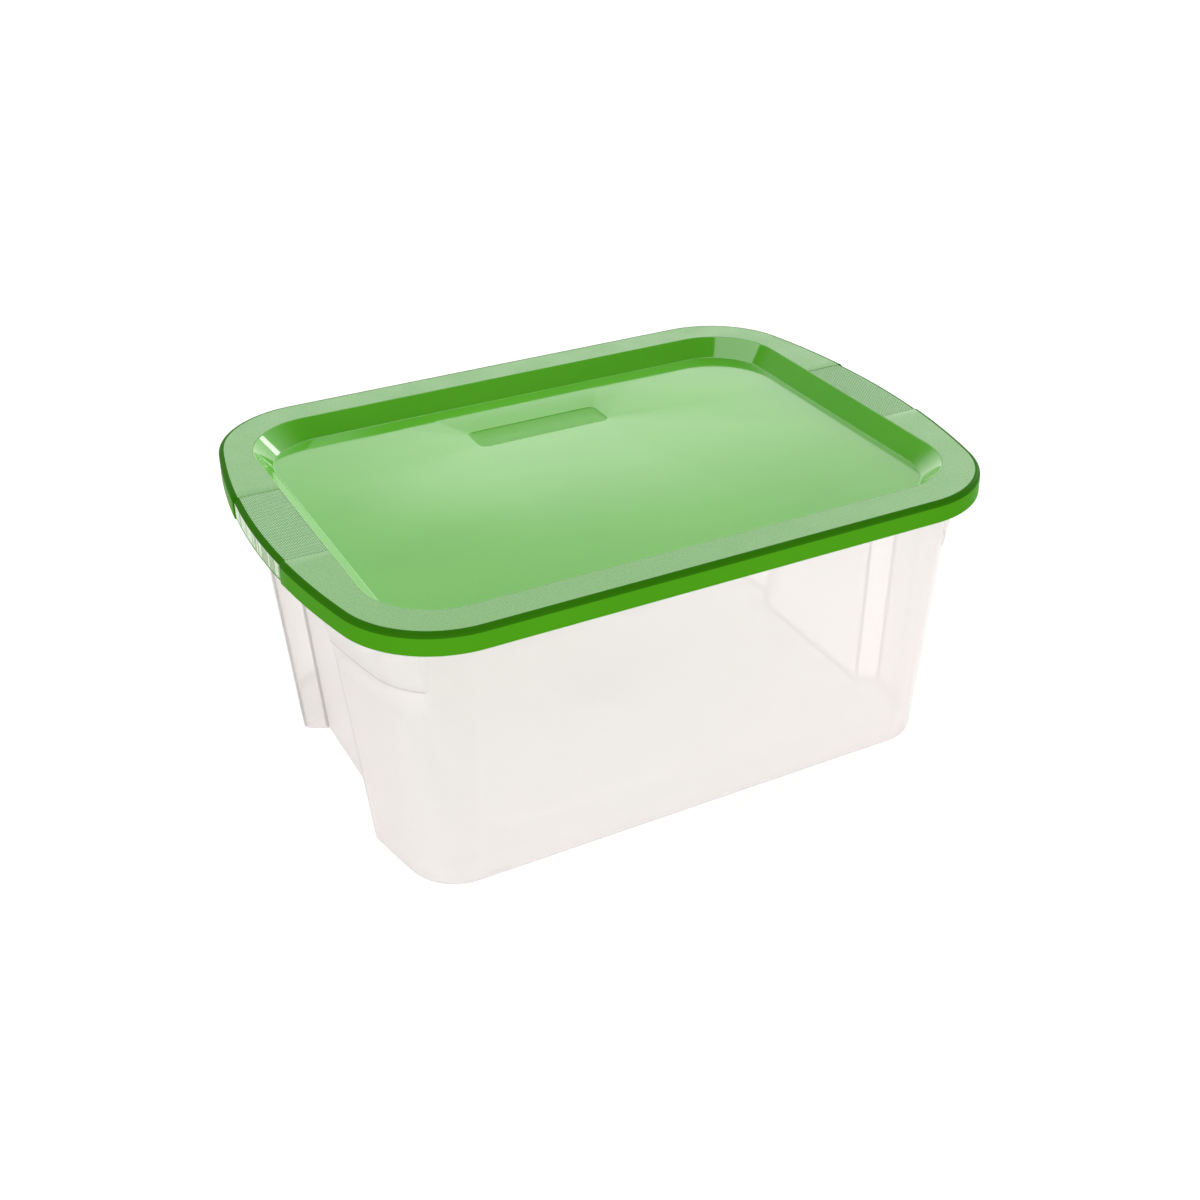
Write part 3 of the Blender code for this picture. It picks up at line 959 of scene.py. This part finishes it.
# Painted shadow lines: along the collar's ledge and the recess's rounded edges
LINE_SHADOW_TONE, LINE_MILKINESS = 0.55, 0.85
ASLANT_MILKINESS = 0.85
MILKINESS_SLANTS = (0.2, 1.0)
SCATTERED_THROUGH = 0.2
CLEAR_ROUGHNESS = (0.29, 0.36)
CLEAR_IOR = 1.49
CLEAR_FLOW = {"scale": 11.0, "detail": 3.0, "stretch": (1.0, 1.0, 0.35)}
CLEAR_RUB = {"scale": 130.0, "detail": 3.0}
CLEAR_PEEL = {"scale": 260.0, "detail": 2.0}
PEEL_HEIGHT = 0.0001
PEEL_STRENGTH = 0.08


def green_plastic(name, tones, roughness, uneven, shine, grain):
    """Moulded green plastic: faint flow shading between two tones, uneven gloss and a fine grain."""
    material, tree, shader, place = new_material(name)
    flow = spread(tree, noise(tree, place, **GREEN_FLOW), 0.0, 1.0)
    size, strength, fleck = grain
    fine = noise(tree, place, 1 / size, GRAIN_DETAIL)
    shade = mix_values(tree, fleck, flow, spread(tree, fine, 0.0, 1.0))
    tree.links.new(blend_colours(tree, shade, *tones), shader.inputs["Base Color"])
    rub = noise(tree, place, **GREEN_RUB)
    rubbed = spread(tree, rub, roughness - uneven, roughness + uneven)
    tree.links.new(rubbed, shader.inputs["Roughness"])
    wave = bump(tree, noise(tree, place, **GREEN_WAVE), WAVE_HEIGHT, WAVE_STRENGTH)
    pitted = bump(tree, fine, GRAIN_HEIGHT, strength, wave)
    tree.links.new(pitted, shader.inputs["Normal"])
    shader.inputs["IOR"].default_value = GREEN_IOR
    shader.inputs["Specular IOR Level"].default_value = shine
    return material


def toned(share, colours):
    """The colours, darkened to this share."""
    return [tuple(share * value for value in colour) for colour in colours]


def lid_materials():
    """In the order of the lid's material slots."""
    satin = toned(SATIN_SHADE_TONE, GREENS)
    badge = toned(BADGE_TONE, GREENS)

    # Name, tones, roughness, how uneven it is, shine and grain
    finishes = (
        ("green_gloss", GREENS, 0.08, 0.02, 0.85, POLISHED),
        ("green_satin_painted_shade", satin, 0.33, 0.04, 0.006, SMOOTH),
        ("green_fine_grain_shade_and_sheen", RIM_SHADE_AND_SHEEN_GREENS, 0.36, 0.05, 0.95, PITTED),
        ("green_edge_painted_shade", SHADED_EDGE_GREENS, 0.33, 0.03, 0.006, SMOOTH),
        # The knurl's valleys carry the rim's painted shade and painted sheen
        ("green_knurl", VALLEY_SHADE_AND_SHEEN_GREENS, 0.36, 0.05, 1.0, KNURL_GRAIN),
        ("green_knurl_tips_painted_highlight", TIP_HIGHLIGHT_GREENS, 0.36, 0.05, 1.0, KNURL_GRAIN),
        ("green_grooves_painted_dim_glare", GROOVE_DIM_GLARE_GREENS, 0.40, 0.05, 0.8, RIB_GRAIN),
        ("green_ribs_painted_glare", RIB_GLARE_GREENS, 0.36, 0.05, 0.9, RIB_GRAIN),
        ("green_badge", badge, 0.42, 0.04, 0.5, BADGE_GRAIN),
    )
    return [green_plastic(*finish) for finish in finishes]


def milkiness(tree, ahead):
    """A wall hides more where it is looked through aslant, because the way through it is longer."""
    slant = tree.nodes.new("ShaderNodeLayerWeight")
    slant.inputs["Blend"].default_value = 0.5
    results = (ahead, ASLANT_MILKINESS)
    return remap(tree, slant.outputs["Facing"], MILKINESS_SLANTS, results)


def clear_plastic(name, tone, milky_ahead):
    """Natural polypropylene: part of the light goes straight through, part is scattered either way."""
    material, tree, shader, place = new_material(name)
    flow = spread(tree, noise(tree, place, **CLEAR_FLOW), 0.0, 1.0)
    colour = blend_colours(tree, flow, *toned(tone, CLEAR_WHITES))
    tree.links.new(colour, shader.inputs["Base Color"])
    rub = spread(tree, noise(tree, place, **CLEAR_RUB), *CLEAR_ROUGHNESS)
    tree.links.new(rub, shader.inputs["Roughness"])
    peel = bump(tree, noise(tree, place, **CLEAR_PEEL), PEEL_HEIGHT, PEEL_STRENGTH)
    tree.links.new(peel, shader.inputs["Normal"])
    shader.inputs["IOR"].default_value = CLEAR_IOR
    milk = tree.nodes.new("ShaderNodeBsdfTranslucent")
    tree.links.new(colour, milk.inputs["Color"])
    scattered = mix_shaders(
        tree, SCATTERED_THROUGH, shader.outputs["BSDF"], milk.outputs["BSDF"]
    )
    clear = tree.nodes.new("ShaderNodeBsdfTransparent")
    hidden = milkiness(tree, milky_ahead)
    seen = mix_shaders(tree, hidden, clear.outputs["BSDF"], scattered)
    tree.links.new(seen, tree.nodes["Material Output"].inputs["Surface"])
    return material


def tub_materials():
    """In the order of the tub's material slots."""
    return [
        clear_plastic("clear_wall", WALL_TONE, WALL_MILKINESS),
        clear_plastic("clear_edge_painted_shade", EDGE_SHADE_TONE, EDGE_MILKINESS),
        clear_plastic("clear_line_painted_shadow", LINE_SHADOW_TONE, LINE_MILKINESS),
    ]


# ---------------------------------------------------------------- stage


def make_floor():
    """A pale floor that glows like a light table. From below it is clear, and shows the underside."""
    mesh = bpy.data.meshes.new("pale_floor")
    turns = ((-1, -1), (1, -1), (1, 1), (-1, 1))
    corners = [(x * FLOOR_HALF_SIZE, y * FLOOR_HALF_SIZE, -FLOOR_GAP) for x, y in turns]
    mesh.from_pydata(corners, [], [(0, 1, 2, 3)])
    floor = bpy.data.objects.new("pale_floor", mesh)
    material, tree, shader, _ = new_material("pale_floor")
    shader.inputs["Base Color"].default_value = (*FLOOR_GREY, 1.0)
    shader.inputs["Roughness"].default_value = FLOOR_ROUGHNESS
    shader.inputs["Emission Color"].default_value = (*WARM_WHITE, 1.0)
    shader.inputs["Emission Strength"].default_value = FLOOR_GLOW
    from_below = tree.nodes.new("ShaderNodeNewGeometry").outputs["Backfacing"]
    clear = tree.nodes.new("ShaderNodeBsdfTransparent")
    seen = mix_shaders(tree, from_below, shader.outputs["BSDF"], clear.outputs["BSDF"])
    tree.links.new(seen, tree.nodes["Material Output"].inputs["Surface"])
    material.cycles.emission_sampling = "FRONT"
    mesh.materials.append(material)
    bpy.context.scene.collection.objects.link(floor)


def ease(tree, value, ends, results):
    """Turns smoothly from the first result to the second between the two ends."""
    return remap(tree, value, ends, results, "SMOOTHSTEP")


def make_world():
    """A white studio, brighter behind the object than in front, and a pale backdrop for the camera."""
    world = bpy.data.worlds.new("studio")
    world.use_nodes = True
    tree = world.node_tree
    direction = tree.nodes.new("ShaderNodeTexCoord").outputs["Generated"]
    towards_back = tree.nodes.new("ShaderNodeVectorMath")
    towards_back.operation = "DOT_PRODUCT"
    towards_back.inputs[1].default_value = BACK_DIRECTION
    tree.links.new(direction, towards_back.inputs[0])
    split = tree.nodes.new("ShaderNodeSeparateXYZ")
    tree.links.new(direction, split.inputs["Vector"])
    height = split.outputs["Z"]
    room = tree.nodes.new("ShaderNodeMath")
    room.operation = "MULTIPLY"
    lights = (FRONT_LIGHT, BACK_LIGHT)
    back = ease(tree, towards_back.outputs["Value"], BACK_SPREAD, lights)
    tree.links.new(back, room.inputs[0])
    low = ease(tree, height, LOW_GLOW_HEIGHTS, (LOW_GLOW, 1.0))
    tree.links.new(low, room.inputs[1])
    above = ease(tree, height, HORIZON_HEIGHTS, (0.0, 1.0))
    lit = mix_values(tree, above, UNDER_LIGHT, room.outputs["Value"])
    seen = tree.nodes.new("ShaderNodeLightPath").outputs["Is Camera Ray"]
    shown = mix_values(tree, seen, lit, BACKDROP)
    background = tree.nodes["Background"]
    background.inputs["Color"].default_value = (*WHITE, 1.0)
    tree.links.new(shown, background.inputs["Strength"])
    bpy.context.scene.world = world


def make_lights():
    target = Vector(SOFTBOX_TARGET)
    for name, place, size, watts, colour in SOFTBOXES:
        data = bpy.data.lights.new(name, "AREA")
        data.shape = "RECTANGLE"
        data.size, data.size_y = size
        data.energy = watts
        data.color = colour
        light = bpy.data.objects.new(name, data)
        light.location = place
        light.rotation_euler = (target - Vector(place)).to_track_quat("-Z", "Y").to_euler()
        bpy.context.scene.collection.objects.link(light)


def make_camera():
    data = bpy.data.cameras.new("camera")
    data.lens = CAMERA_LENS
    data.sensor_width = CAMERA_SENSOR
    data.shift_x, data.shift_y = CAMERA_SHIFT
    camera = bpy.data.objects.new("camera", data)
    heading = Matrix.Rotation(-CAMERA_HEADING, 4, "Z")
    tilt = Matrix.Rotation(math.pi / 2 - CAMERA_DOWN, 4, "X")
    roll = Matrix.Rotation(CAMERA_ROLL, 4, "Z")
    camera.matrix_world = Matrix.Translation(CAMERA_PLACE) @ heading @ tilt @ roll
    bpy.context.scene.collection.objects.link(camera)
    bpy.context.scene.camera = camera


bpy.context.scene.view_settings.view_transform = "Standard"
bpy.context.scene.cycles.transparent_max_bounces = MOST_LAYERS
make_lid()
make_tub()
make_floor()
make_world()
make_lights()
make_camera()
